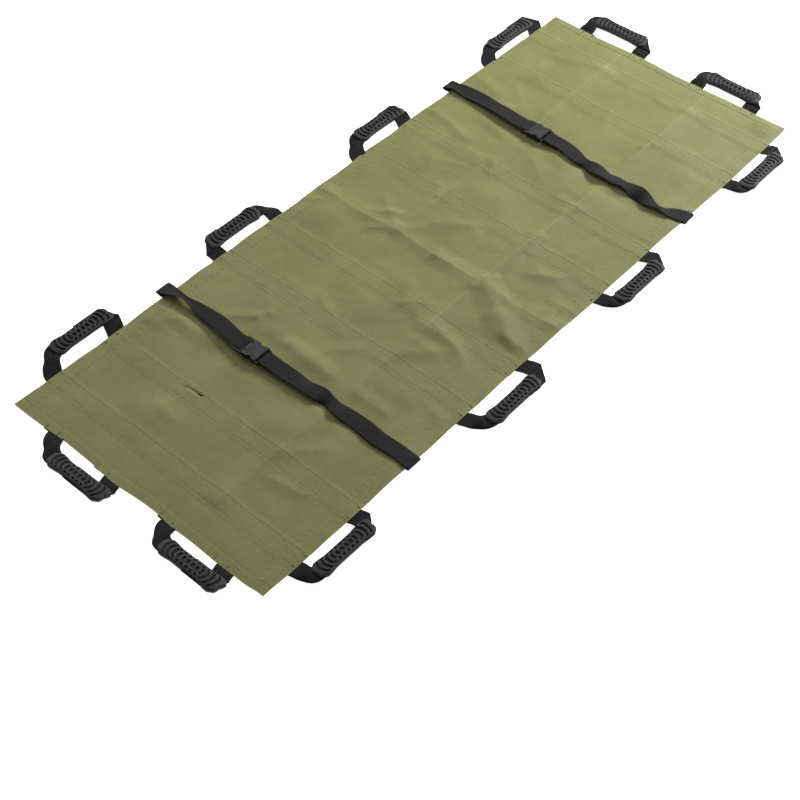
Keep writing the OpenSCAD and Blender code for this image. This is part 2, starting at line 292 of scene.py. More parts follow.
def placed(name, data):
    """A new object that shows data."""
    o = bpy.data.objects.new(name, data)
    bpy.context.scene.collection.objects.link(o)
    return o


def mesh_object(name, verts, faces, mat, uvs=None, floats=None):
    """A smooth mesh from points and UVs in mm; faces is one array, or a list of quads and triangles."""
    groups = faces if isinstance(faces, list) else [faces]
    groups = [np.asarray(g, np.int32) for g in groups if len(g)]
    me = bpy.data.meshes.new(name)
    verts = np.asarray(verts, float)
    groups = outwards(verts, groups)
    me.vertices.add(len(verts))
    me.vertices.foreach_set("co", (verts * MM).astype(np.float32).ravel())
    loops = np.concatenate([g.ravel() for g in groups])
    sizes = np.concatenate([np.full(len(g), g.shape[1], np.int32) for g in groups])
    me.loops.add(len(loops))
    me.loops.foreach_set("vertex_index", loops)
    me.polygons.add(len(sizes))
    starts = np.concatenate([[0], np.cumsum(sizes)[:-1]]).astype(np.int32)
    me.polygons.foreach_set("loop_start", starts)
    me.polygons.foreach_set("loop_total", sizes)
    me.update(calc_edges=True)
    me.polygons.foreach_set("use_smooth", np.ones(len(sizes), bool))
    if uvs is not None:
        layer = me.uv_layers.new(name="cloth")
        layer.data.foreach_set("uv", np.asarray(uvs, np.float32)[loops].ravel())
    for key, values in (floats or {}).items():
        layer = me.attributes.new(key, "FLOAT", "POINT")
        layer.data.foreach_set("value", np.asarray(values, np.float32))
    me.materials.append(mat)
    me.validate()
    return placed(name, me)


def grid_faces(rows, cols, first=0, closed=False, flip=False):
    """Quads of a rows x cols grid of points; closed joins the last column to the first."""
    i = np.arange(rows - 1)[:, None]
    j = np.arange(cols if closed else cols - 1)[None, :]
    k = (j + 1) % cols
    a, b, c, d = i * cols + j, i * cols + k, (i + 1) * cols + k, (i + 1) * cols + j
    quads = np.stack([a, b, c, d], -1).reshape(-1, 4) + first
    return quads[:, ::-1] if flip else quads


def smooth(a, b, x):
    """0 up to a, 1 from b on, and a soft step between."""
    t = np.clip((x - a) / (b - a), 0.0, 1.0)
    return t * t * (3.0 - 2.0 * t)


def unit(v):
    return v / np.maximum(np.linalg.norm(v, axis=-1, keepdims=True), 1e-9)


def distances(path):
    """How far along a path of points each point is."""
    return np.concatenate([[0], np.cumsum(np.linalg.norm(np.diff(path, axis=0), axis=1))])


def catmull(points, step):
    """Points every step mm along a centripetal spline through the given ones."""
    p = np.asarray(points, float)
    p = np.vstack([2 * p[0] - p[1], p, 2 * p[-1] - p[-2]])
    out = []
    for i in range(1, len(p) - 2):
        near = p[i - 1:i + 3]
        k = np.cumsum([0.0] + [max(1e-6, gap) ** 0.5 for gap in np.diff(distances(near))])
        count = max(2, int(np.linalg.norm(p[i + 1] - p[i]) / step))
        t = np.linspace(k[1], k[2], count, endpoint=False)[:, None]

        def between(a, b, i, j):
            return (k[j] - t) / (k[j] - k[i]) * a + (t - k[i]) / (k[j] - k[i]) * b

        pairs = [between(near[j], near[j + 1], j, j + 1) for j in range(3)]
        spans = [between(pairs[j], pairs[j + 1], j, j + 2) for j in range(2)]
        out.append(between(*spans, 1, 2))
    return np.vstack(out + [p[-2:-1]])


def ribbon(centres, across, width, thick, curl=0.0, cols=12):
    """Points, quads and UVs of a band of webbing: centres (n, 3), unit across vectors (n, 3), and
    a width and a curl angle for each centre or for all."""
    n = len(centres)
    tangent = unit(np.gradient(centres, axis=0))
    across = unit(across - np.sum(across * tangent, -1, keepdims=True) * tangent)
    normal = np.cross(tangent, across)
    width, curl = np.broadcast_to(width, n), np.broadcast_to(curl, n)
    t = np.linspace(-0.5, 0.5, cols + 1)
    half = thick / 2
    # the outline of the section: along the top, round the edge, back along the bottom
    lay = np.concatenate([t, [0.5 + 0.25 * thick / WEBBING], t[::-1], [-0.5 - 0.25 * thick / WEBBING]])
    up = np.concatenate([np.full(cols + 1, half), [0.0], np.full(cols + 1, -half), [0.0]])
    edge = np.clip((np.abs(lay) - 0.455) / 0.045, 0, 1)
    up = up * (1 - 0.25 * edge)
    angle = curl[:, None] * lay[None, :]
    flat = np.abs(curl)[:, None] < 1e-3
    radius = width[:, None] / np.where(flat, 1e-3, curl[:, None])
    side = np.where(flat, width[:, None] * lay, radius * np.sin(angle))
    rise = np.where(flat, 0.0, radius * (1 - np.cos(angle)))
    side = side - up[None, :] * np.sin(angle)
    rise = rise + up[None, :] * np.cos(angle)
    pts = centres[:, None, :] + side[..., None] * across[:, None, :] + rise[..., None] * normal[:, None, :]
    m = len(lay)
    run = distances(centres)
    uv = np.stack(np.broadcast_arrays(run[:, None], (lay * WEBBING)[None, :]), -1)
    ends = []
    for row in (0, n - 1):
        base = row * m
        for k in range(cols):
            ring = [base + k, base + k + 1, base + 2 * cols + 1 - k, base + 2 * cols + 2 - k]
            ends.append(ring if row == 0 else ring[::-1])
    pts = pts.reshape(-1, 3)
    return pts, outwards(pts, [np.vstack([grid_faces(n, m, closed=True), ends])])[0], uv.reshape(-1, 2)


def webbing_object(name, mat, *bands):
    """One or more bands as one object."""
    firsts = np.cumsum([0] + [len(points) for points, _, _ in bands])
    quads = np.vstack([faces + first for (_, faces, _), first in zip(bands, firsts)])
    return mesh_object(name, np.vstack([b[0] for b in bands]), quads, mat, np.vstack([b[2] for b in bands]))


# ---------------------------------------------------------------- sheet

PACKING_CREASES = 18               # how many of the creases below are folds it was packed along
CREASES = (                        # from, to, height, spread, tip radius, fade at the ends
    ((-900, -131), (-640, -133), 2.6, 46, 2.5, 30), ((-640, -133), (-470, -136), 3.2, 50, 2.5, 25),
    ((-470, -136), (-200, -131), 2.6, 44, 2.5, 30), ((-200, -131), (0, -128), 4.6, 34, 1.0, 20),
    ((0, -128), (200, -134), 5.2, 34, 1.0, 20), ((200, -134), (480, -141), 4.6, 34, 1.2, 25),
    ((480, -141), (900, -131), 4.0, 52, 2.5, 25),
    ((-900, 117), (-500, 112), 1.4, 40, 4.0, 40), ((-440, 108), (0, 121), 2.2, 42, 3.0, 40),
    ((0, 121), (330, 110), 3.4, 46, 2.5, 25), ((330, 110), (520, 112), 2.6, 46, 3.0, 30),
    ((520, 112), (900, 126), 4.2, 52, 2.5, 25),
    ((-4, 350), (-7, 210), 3.6, 30, 0.9, 14), ((-7, 210), (2, 122), 4.2, 30, 0.8, 14),
    ((2, 122), (-5, 0), 5.6, 34, 0.7, 12), ((-5, 0), (0, -128), 6.4, 36, 0.6, 12),
    ((0, -128), (-9, -230), 3.4, 30, 0.7, 12), ((-9, -230), (-1, -350), 3.8, 32, 1.0, 14),
    ((-138, -335), (-60, -232), 6.0, 46, 5, 34), ((-60, -232), (2, -140), 7.5, 44, 3.5, 24),
    ((-185, -205), (-170, -130), 2.6, 30, 3, 24), ((-185, -205), (-235, -300), 3.0, 34, 4, 30),
    ((-419, 60), (-424, -80), 3.6, 30, 5, 34), ((8, 217), (40, 150), 2.4, 24, 2, 16),
    ((46, 74), (6, 119), 2.2, 22, 2, 14), ((-424, -141), (-422, -230), 2.4, 26, 3, 20),
    ((30, -170), (110, -150), 1.8, 24, 4, 22),
    ((0, 122), (-34, 168), 2.6, 22, 1.6, 12), ((2, 122), (38, 172), 3.0, 24, 1.6, 12),
    ((38, 172), (70, 214), 1.8, 22, 2.5, 18), ((38, 172), (52, 138), 2.0, 16, 1.6, 10),
    ((-8, -100), (-30, -126), 2.4, 20, 1.6, 10), ((0, -128), (34, -152), 2.8, 22, 1.6, 10),
    ((-14, -128), (-52, -96), 1.8, 22, 2.0, 14), ((-2, -262), (30, -300), 2.2, 24, 2.5, 14),
    ((-448, 216), (-404, 160), 2.6, 26, 2.0, 16), ((-404, 160), (-372, 142), 2.0, 22, 2.0, 12),
    ((-446, 130), (-398, 158), 1.8, 22, 2.0, 14), ((-380, -20), (-330, -66), 1.4, 30, 4, 20),
    ((-444, 60), (-410, -40), 2.2, 40, 8, 30), ((-640, 132), (-636, 82), -1.6, 5, 0.6, 5),
    ((446, 236), (428, 140), 3.0, 28, 3.0, 22), ((428, 140), (470, 96), 2.2, 24, 2.5, 16),
    ((452, 60), (442, -40), 3.2, 30, 3.0, 24), ((444, -120), (448, -260), 3.0, 28, 4.0, 30),
    ((150, 118), (190, 150), 0.9, 18, 1.6, 10), ((150, 92), (196, 112), 0.8, 16, 1.6, 10),
    ((296, 120), (330, 152), 0.9, 18, 1.6, 10), ((292, 84), (330, 100), 0.8, 16, 1.6, 10),
    ((140, -112), (176, -134), 1.1, 18, 1.6, 10), ((138, -158), (180, -142), 0.9, 16, 1.6, 10),
    ((290, -124), (332, -146), 1.0, 18, 1.6, 10), ((600, -128), (640, -150), 1.2, 18, 2, 12),
    ((-900, 128), (-872, 148), 1.8, 18, 1.6, 10), ((880, 118), (899, 100), 2.2, 18, 1.6, 10),
    ((-520, 330), (-512, 120), 3.0, 26, 6, 50), ((-512, 40), (-508, -120), 1.6, 24, 6, 40),
    ((-60, 350), (-30, 300), 1.4, 18, 2, 12), ((-180, -345), (-150, -250), 1.6, 34, 8, 30),
    ((560, 340), (540, 250), 1.8, 30, 6, 30), ((240, 345), (236, 300), 1.2, 18, 3, 12),
    ((700, -345), (690, -260), 1.4, 26, 5, 22), ((60, -345), (52, -280), 1.6, 24, 4, 20),
)
RELIEF, MOST_RELIEF = 1.3, 11.0    # how much the creases are raised, and the limit they near
_draw = np.random.default_rng(11)
_waves = zip(_draw.uniform(95, 330, 18), _draw.uniform(0, math.pi, 18), _draw.uniform(0, 6.28, 18))
WAVES = [(2 * math.pi / length * math.cos(a), 2 * math.pi / length * math.sin(a), p, length / 330.0 * 0.75)
         for length, a, p in _waves]


def wrinkles(count, half_x, half_y):
    """Small random creases all over the sheet, in the same terms as CREASES."""
    found = []
    for _ in range(count):
        x, y = _draw.uniform(-half_x, half_x), _draw.uniform(-half_y, half_y)
        way, length = _draw.uniform(0, math.pi), _draw.uniform(30, 110)
        height = _draw.uniform(0.35, 1.5) * length / 80
        ends = (x, y), (x + length * math.cos(way), y + length * math.sin(way))
        found.append((*ends, height, _draw.uniform(16, 34), _draw.uniform(1.5, 5.0), 0.35 * length))
    return tuple(found)


MAIN_CREASES = CREASES[:PACKING_CREASES]
CREASES = CREASES + wrinkles(60, 880, 330) + wrinkles(60, 400, 330)


def along_crease(p, q, x, y):
    """How far along the crease from p to q a place is and how far aside of it, and the crease's length."""
    dx, dy = q[0] - p[0], q[1] - p[1]
    length = math.hypot(dx, dy)
    t = ((x - p[0]) * dx + (y - p[1]) * dy) / length
    d = ((y - p[1]) * dx - (x - p[0]) * dy) / length
    return t, d + 0.7 * np.sin(t / 17.0 + p[0]) * smooth(0, 40, length), length


def crease_field(x, y):
    """How much the creases raise the sheet, in mm."""
    total = np.zeros_like(x)
    for p, q, height, spread, tip, fade in CREASES:
        reach = spread + fade + 30
        near = (x > min(p[0], q[0]) - reach) & (x < max(p[0], q[0]) + reach)
        near &= (y > min(p[1], q[1]) - reach) & (y < max(p[1], q[1]) + reach)
        if not near.any():
            continue
        t, d, length = along_crease(p, q, x[near], y[near])
        along = smooth(-fade, fade * 0.6, t) * smooth(-fade, fade * 0.6, length - t)
        slope = np.clip(1 - (np.sqrt(d * d + tip * tip) - tip) / spread, 0, 1) ** 1.5
        total[near] += RELIEF * height * along * slope
    under_strap = np.exp(-((x + STRAP_X - 12) / 42) ** 2) + np.exp(-((x - STRAP_X + 14) / 42) ** 2)
    return MOST_RELIEF * np.tanh(total / MOST_RELIEF) * (1 - 0.65 * under_strap)


def crest(x, y):
    """1 on the crests of the long creases and 0 away from them."""
    found = np.zeros_like(x)
    for p, q, tall, *_ in MAIN_CREASES:
        t, d, length = along_crease(p, q, x, y)
        here = smooth(-3, 0, t) * smooth(-3, 0, length - t) * min(1.0, (tall / 4.5) ** 2)
        found = np.maximum(found, np.exp(-(d / 3.0) ** 2) * here)
    return found


def nearest(x, places):
    """Distance from the nearest of some places."""
    return np.min([np.abs(x - at) for at in places], axis=0)


def line_distance(x, y):
    """Distance from the nearest stitch line that runs across the sheet, and from the hems' lines."""
    return nearest(x, SEAMS), np.minimum(nearest(y, (-HEM_Y, HEM_Y)), nearest(x, (-HEM_X, HEM_X)))


def turned(turn, u, v):
    """A place turned by a number of quarter turns, given in degrees."""
    a = math.radians(turn)
    c, s = round(math.cos(a)), round(math.sin(a))
    return u * c - v * s, u * s + v * c


FOLDED_LEGS = ((245, 34), (50, 38), (-84, 22), (-258, 40))   # where end handles' legs meet the centre fold


def height(x, y):
    """Top of the open sheet, in mm above the floor."""
    gap = nearest(x, BANDS)
    still = np.exp(-(gap / 42) ** 2)
    tuck = (1 - smooth(20, 30, np.abs(np.abs(x) - STRAP_X))) * smooth(270, 285, np.abs(y))
    band = np.maximum(1 - smooth(19, 27, gap), tuck)
    hem = np.maximum(smooth(HEM_Y - 1.2, HEM_Y + 1.2, np.abs(y)), smooth(HEM_X - 1.2, HEM_X + 1.2, np.abs(x)))
    roll = sum(size * np.sin(kx * x + ky * y + phase) for kx, ky, phase, size in WAVES)
    edge = smooth(0, 26, HALF_Y - np.abs(y)) * smooth(0, 26, HALF_X - np.abs(x))
    # flatter where the grips, the buckles and the folded end handles come to lie
    landing = np.zeros_like(x)
    for _, turn, along, lean, *_ in HANDLES:
        u, r = turned(-turn, x, y)
        near_hem = 1 - smooth(75, 105, (HALF_Y if turn in (0, 180) else HALF_X) - r)
        landing = np.maximum(landing, near_hem * (1 - smooth(100, 130, np.abs(u - along - lean))))
    buckle = (1 - smooth(34, 82, np.abs(np.abs(x) - STRAP_X))) * (1 - smooth(38, 90, np.abs(y - 92)))
    legs = sum(1 - smooth(half, half + 16, np.abs(y - at)) for at, half in FOLDED_LEGS)
    calm = (1 - 0.62 * still) * (1 - 0.6 * landing) * (1 - 0.9 * buckle)
    eased = (1 - 0.85 * landing) * (1 - 0.9 * buckle) * (1 - (0.12 + 0.34 * legs) * np.exp(-(x / 66) ** 2))
    h = 1.75 + 0.5 * band + 0.4 * hem + 0.85 * np.clip(roll + 0.9, 0, 6) * calm * (0.4 + 0.6 * edge)
    h += crease_field(x, y) * (0.55 + 0.45 * edge) * eased
    cross, seam = line_distance(x, y)
    inner = (np.abs(y) < 342)
    h -= 0.40 * (1 - smooth(0.6, 4.2, cross)) * inner + 0.3 * (1 - smooth(0.4, 3.0, seam))
    pucker = 0.30 * np.sin(y / 2.1 + 3 * np.sin(y / 31)) * np.exp(-(cross / 7.0) ** 2) * inner
    pucker += 0.22 * np.sin(x / 2.4 + 2 * np.sin(x / 37)) * np.exp(-((np.abs(y) - HEM_Y) / 6.0) ** 2)
    pucker += 0.35 * np.sin(x / 13 + 1.5 * np.sin(x / 61)) * smooth(HEM_Y, HALF_Y, np.abs(y))
    # never down to the webbing below, except at the pulled bit of stitch line
    floor = CLOTH + 0.15 + 1.3 * smooth(0.1, 0.9, band) * (np.hypot(x + 638, y - 107) > 40)
    return floor + 0.25 * np.logaddexp(0, (h + pucker - floor) / 0.25)


def outline(x, y):
    """The sheet's points moved a little, so that its edges aren't ruled lines."""
    sy = smooth(230, 350, np.abs(y)) * np.sign(y)
    sx = smooth(780, 900, np.abs(x)) * np.sign(x)
    bow = (3.0 * smooth(60, 180, x) * (1 - smooth(500, 640, x)) + 3.0 * np.exp(-((x + 232) / 70) ** 2)
           + 2.0 * np.exp(-((x - 330) / 60) ** 2)) * (y > 0)
    bow += (4.0 * np.exp(-((x + 725) / 130) ** 2) + 1.5 * np.exp(-((x - 725) / 120) ** 2)) * (y < 0)
    foot = (4.5 * smooth(-60, -120, y) * (1 - smooth(-300, -345, y)) + 4.5 * np.exp(-((y - 60) / 60) ** 2)
            + 3.0 * smooth(190, 260, y)) * (x < 0)
    head = 3.5 * (np.exp(-((y - 90) / 60) ** 2) + np.exp(-((y + 190) / 50) ** 2)) * (x > 0)
    dy = sy * (1.1 * np.sin(x / 83 + 0.4) + 0.7 * np.sin(x / 29 + y / 200) + bow - 0.6)
    dx = sx * (0.8 * np.sin(y / 57 + 1.0) + 0.5 * np.sin(y / 21) + foot + head - 0.5)
    return x + dx, y + dy


def lines(low, high, step, special):
    """Grid lines from low to high: regular ones, with finer ones at the special places."""
    found = [float(low), float(high)]
    for at, gaps in special:
        found += [at + g for g in gaps if low < at + g < high]
    fine = np.unique(np.round(found, 3))
    coarse = np.arange(low + step, high - step / 2, step)
    keep = [c for c in coarse if np.min(np.abs(fine - c)) > step * 0.55]
    return np.unique(np.concatenate([fine, keep]))


SEAM_GAPS = (-7, -4, -1.8, 0, 1.8, 4, 7)
FOLD_GAPS = (-9, -5.5, -2.8, 0, 2.8, 5.5, 9)
HEM_GAPS = (-3, -1.2, 0, 1.2, 3)


def edge_lines(hem, half):
    return [(s * hem, HEM_GAPS) for s in (-1, 1)] + [(s * (half - 1.5), (0,)) for s in (-1, 1)]


X_SPECIAL = [(seam, SEAM_GAPS) for seam in SEAMS] + edge_lines(HEM_X, HALF_X) + [(-4, FOLD_GAPS)]
Y_SPECIAL = edge_lines(HEM_Y, HALF_Y) + [(-133, FOLD_GAPS), (117, FOLD_GAPS)]
Y_LINES = lines(-HALF_Y, HALF_Y, 5.0, Y_SPECIAL)


def slopes(x, y):
    """Unit normals of the sheet's top."""
    e = 1.2
    hx = (height(x + e, y) - height(x - e, y)) / (2 * e)
    hy = (height(x, y + e) - height(x, y - e)) / (2 * e)
    return unit(np.stack([-hx, -hy, np.ones_like(hx)], -1))


def sheet_piece(name, low, high):
    """The cloth from x = low to x = high: its top, its underside and the cut edges between them."""
    x, y = np.meshgrid(lines(low, high, 5.0, X_SPECIAL), Y_LINES, indexing="ij")
    # rubbed wear and a painted highlight: lighter on the crests of the packing creases and along the cut edges
    rim = 1 - smooth(0.0, 2.5, np.minimum(HALF_Y - np.abs(y), HALF_X - np.abs(x)))
    wear_and_highlight = 0.55 * np.maximum(crest(x, y), rim)
    cross, seam = line_distance(x, y)
    # painted shade along the stitch lines and the hems' lines, where the sewn grooves lie
    sewn = (1 - smooth(0.0, 2.6, cross)) * (np.abs(y) < 342)
    shade = 0.16 * np.maximum(sewn, 0.8 * (1 - smooth(0.0, 2.0, seam)))
    top = on_sheet(x, y, 0).reshape(-1, 3)
    bottom = top - [0, 0, CLOTH]
    rows, cols = x.shape
    count = rows * cols
    i = np.arange(count).reshape(rows, cols)
    rings = [i[0], i[:, -1], i[-1][::-1], i[:, 0][::-1]]
    normals = slopes(x, y).reshape(-1, 3)
    walls, verts, order, facing = [], [top, bottom], [np.arange(count)] * 2, [normals, -normals]
    first = 2 * count
    for ring, way in zip(rings, ((-1.0, 0, 0), (0, 1.0, 0), (1.0, 0, 0), (0, -1.0, 0))):
        n = len(ring)
        verts += [top[ring], bottom[ring]]
        order += [ring, ring]
        facing.append(np.tile(way, (2 * n, 1)))
        k = np.arange(n - 1)
        walls.append(np.stack([first + k, first + k + 1, first + n + k + 1, first + n + k], -1))
        first += 2 * n
    faces = np.vstack([grid_faces(rows, cols, flip=True), grid_faces(rows, cols, count)] + walls)
    order = np.concatenate(order)
    made = mesh_object(name, np.vstack(verts), faces, CLOTH_MAT, np.stack([x, y], -1).reshape(-1, 2)[order],
                       {"wear_and_highlight": wear_and_highlight.ravel()[order], "shade": shade.ravel()[order]})
    made.data.normals_split_custom_set_from_vertices(np.concatenate(facing).tolist())
    return made


def on_sheet(x, y, lift):
    """Points lift mm above the sheet's top."""
    ox, oy = outline(x, y)
    return np.stack([ox, oy, height(x, y) + lift], -1)


def stitches(name, mat, starts, ends, radius, lift):
    """Short threads that lie on the sheet: starts and ends are (n, 2) places in mm."""
    a, b = on_sheet(*starts.T, lift), on_sheet(*ends.T, lift)
    t = unit(b - a)
    s = unit(np.cross(t, np.array([0, 0, 1.0])))
    u = np.cross(s, t)
    sides = 5
    ring = (np.arange(sides) * 2 * math.pi / sides)[None, :, None]
    circle = radius * (np.cos(ring) * s[:, None, :] + np.sin(ring) * u[:, None, :])
    dip = np.array([0, 0, -radius * 1.6])
    inner_a, inner_b = a + 0.22 * (b - a), b - 0.22 * (b - a)
    verts = np.concatenate([(a + dip)[:, None], inner_a[:, None] + circle,
                            inner_b[:, None] + circle, (b + dip)[:, None]], 1)
    per = 2 * sides + 2
    k = np.arange(sides)
    j = (k + 1) % sides
    quads = np.stack([1 + k, 1 + sides + k, 1 + sides + j, 1 + j], -1)
    tris = np.vstack([np.stack([0 * k, 1 + k, 1 + j], -1),
                      np.stack([0 * k + per - 1, 1 + sides + j, 1 + sides + k], -1)])
    base = np.arange(len(a))[:, None, None] * per
    faces = [(group[None] + base).reshape(-1, group.shape[1]) for group in (quads, tris)]
    return mesh_object(name, verts.reshape(-1, 3), faces, mat)


def seam_marks(low, high):
    """Starts and ends of the stitches between x = low and x = high."""
    found = []
    pitch, length = 4.8, 3.5
    for x in SEAMS:
        if low <= x < high or (x == high == 293):
            for y in np.arange(-339, 339, pitch):
                found.append((x, y, x + 0.25 * math.sin(y), y + length))
    for y in (-HEM_Y, HEM_Y):
        for x in np.arange(max(low, -895), min(high, 895) - pitch, pitch):
            found.append((x, y, x + length, y + 0.2 * math.sin(x)))
    for x in (-HEM_X, HEM_X):
        if low <= x <= high:
            for y in np.arange(-346, 342, pitch):
                found.append((x, y, x + 0.2 * math.sin(y), y + length))
    return np.asarray(found)


def bartack_marks(low, high):
    """Zigzag threads across the hem at each edge of each handle leg."""
    found = []
    for _, turn, along, *_ in HANDLES:
        side = HALF_Y if turn in (0, 180) else HALF_X
        for leg in (-LEG, LEG):
            for edge in (-16, 16):
                for k in range(7):
                    r = side - 3 - k * 1.15
                    x0, y0 = turned(turn, along + leg + edge - 1.3, r)
                    x1, y1 = turned(turn, along + leg + edge + 1.3, r - 0.55)
                    if low <= x0 < high:
                        found.append((x0, y0, x1, y1))
    for s in (-1, 1):
        for edge in (-16, 16):
            for end in (-1, 1):
                for k in range(6):
                    y = end * (HALF_Y - 4 - k * 1.2)
                    x0 = s * STRAP_X + edge - 1.3
                    if low <= x0 < high:
                        found.append((x0, y, x0 + 2.6, y - 0.5))
    return np.asarray(found)


for key, low, high, a, b, start, end in PANELS:
    piece = sheet_piece("sheet_cloth_" + key, low, high)
    marks = seam_marks(low, high)
    extras = [stitches("sheet_stitching_" + key, OLIVE_THREAD, marks[:, :2], marks[:, 2:], 0.42, 0.22)]
    tacks = bartack_marks(low, high)
    if len(tacks):
        extras.append(stitches("sheet_bartacks_" + key, BLACK_THREAD, tacks[:, :2], tacks[:, 2:], 0.42, 0.3))
    for o in [piece] + extras:
        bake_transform(o)
    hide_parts(*sorted(("sheet_" + a, "sheet_" + b), key=lambda n: n.endswith("crease")))


# ---------------------------------------------------------------- webbing under the sheet

def under_band(name, panel, across, places):
    """Webbing that lies under the sheet, in one length at each place, as one piece."""
    made = webbing_object("band_" + name, WEBBING_MAT, *(
        ribbon(centres, np.tile(across, (len(centres), 1)), WEBBING, UNDER_THICK) for centres in places))
    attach(made, panel)
    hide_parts(name)


MEMBERS = [(n, body) for body, members in frame["record"]["behaviour"]["bodies"].items() for n in members]
for n, body in MEMBERS:
    if n.startswith("cross_webbing"):
        low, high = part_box(n)
        y = np.linspace(2 - HALF_Y, HALF_Y - 2, 60)
        x = np.full(60, (low[0] + high[0]) / 2 / MM)
        under_band(n, body, [1.0, 0, 0], [np.stack([x, y, UNDER_Z + 0.05 * np.sin(y / 23)], -1)])


# ---------------------------------------------------------------- handles

GRIP_HALF, WAIST, FLARE, GRIP_THICK = 76.5, 18.6, 21.0, 7.0
PITCH = 11.7


def soft_box(a, b, half_a, half_b, corner=1.2, soft=0.55):
    """1 inside a rounded rectangle, 0 outside."""
    qa, qb = np.abs(a) - half_a + corner, np.abs(b) - half_b + corner
    d = np.hypot(np.maximum(qa, 0), np.maximum(qb, 0)) + np.minimum(np.maximum(qa, qb), 0) - corner
    return 1 - smooth(-soft, soft, d)


def tread(a, c):
    """Depth, 0 to 1, of the moulded recesses of a grip: a runs along it and c across it, in mm."""
    depth = np.zeros_like(a)
    for k in (-1.5, -0.5, 0.5, 1.5):
        depth = np.maximum(depth, soft_box(a - k * PITCH + 0.05 * c, c, 3.6, 4.9))
    for k in range(-3, 4):
        for s in (-1, 1):
            half_a, half_c = (2.9, 2.3) if abs(k) < 3 else (2.4, 1.8)
            depth = np.maximum(depth, soft_box(a - k * PITCH, c - s * 11.6, half_a, half_c, 1.0))
    for s in (-1, 1):
        bow = s * a + 6.0 * (c / 16.0) ** 2
        for at, reach, half in ((29.4, 6.4, 3.0), (41.4, 10.2, 3.1), (53.2, 15.0, 3.1), (64.4, 16.4, 2.8)):
            arc = 1 - smooth(half - 0.5, half + 0.5, np.abs(bow - at))
            depth = np.maximum(depth, arc * (1 - smooth(reach, reach + 1.0, np.abs(c))))
    return depth


def grip_mesh(folded):
    """A moulded grip. Its end beside the folded leg, at folded, is cut on a slant like the webbing there."""
    tips = np.array([0, 0.6, 1.6, 3.0])
    a = np.concatenate([tips - GRIP_HALF, np.linspace(-72.7, 72.7, 172), GRIP_HALF - tips[::-1]])
    end = np.abs(a) / GRIP_HALF
    half_width = WAIST - 0.6 + (FLARE - WAIST + 0.6) * smooth(0.42, 0.78, end)
    half_width = half_width - 8.0 * np.clip((end - 0.82) / 0.18, 0, 1) ** 1.2
    half_thick = GRIP_THICK - 0.4 * smooth(0.2, 0.75, end) - 1.2 * smooth(0.80, 0.97, end)
    tip = np.sqrt(np.clip(1 - np.clip((np.abs(a) - GRIP_HALF + 3.0) / 3.0, 0, 1) ** 2, 0, 1))
    half_width = half_width - 3.0 * (1 - tip)
    half_thick = half_thick * (0.45 + 0.55 * tip)
    b = np.sin(np.linspace(-math.pi / 2, math.pi / 2, 58))
    aa, bb = np.meshgrid(a, b, indexing="ij")
    power = 3.4
    shell = np.clip(1 - np.abs(bb) ** power, 0, 1) ** (1 / power)
    c = bb * half_width[:, None]
    depth = tread(aa, c) * np.clip((1 - np.abs(bb)) / 0.08, 0, 1)
    z = shell * half_thick[:, None] - 1.9 * depth
    aa = aa + folded * 0.45 * np.clip(-c, 0, None) * smooth(0.55, 1.0, folded * aa / GRIP_HALF)
    z = np.maximum(z, 0)
    ring = np.concatenate([np.stack([aa, c, z], -1), np.stack([aa, c, -z], -1)[:, -2:0:-1]], 1)
    rows, cols = ring.shape[:2]
    quads = grid_faces(rows, cols, closed=True, flip=True)
    tri, four = [], []
    for row, way in ((0, -1), (rows - 1, 1)):
        for k in range(len(b) - 1):
            corners = [row * cols + j for j in (k, (cols - k) % cols, cols - k - 1, k + 1)][::way]
            distinct = list(dict.fromkeys(corners))
            (four if len(distinct) == 4 else tri).append(distinct)
    # the recess depth, which the rubber uses to paint shade into the pits
    pit = np.concatenate([depth, depth[:, -2:0:-1]], 1).ravel()
    faces = [np.vstack([quads, four]), np.array(tri)]
    return mesh_object("grip_master_%d" % folded, ring.reshape(-1, 3), faces, RUBBER_MAT, None, {"pit": pit})


def handle_frame(turn, along):
    """A handle's hinge, and its axes as rows: along the hem, outwards and up, tilted to the floor."""
    side = (HALF_Y if turn in (0, 180) else HALF_X) + HINGE_OUT
    origin = np.array([*turned(turn, along, side), HINGE_Z])
    u = np.array([*turned(turn, 1, 0), 0.0])
    out = np.array([*turned(turn, 0, math.cos(TILT)), math.sin(TILT)])
    return origin, np.stack([u, out, np.cross(u, out)])


def bezier(p0, p1, p2, p3, count):
    t = np.linspace(0, 1, count)[:, None]
    return (1 - t) ** 3 * p0 + 3 * (1 - t) ** 2 * t * p1 + 3 * (1 - t) * t * t * p2 + t ** 3 * p3


def hem_drop(r):
    """How far the webbing lies below the handle's plane where it comes out from under the hem."""
    level = -2.5 - np.minimum(r, 0) * math.sin(TILT)
    return level * (1 - smooth(-1.0, 11.0, r))


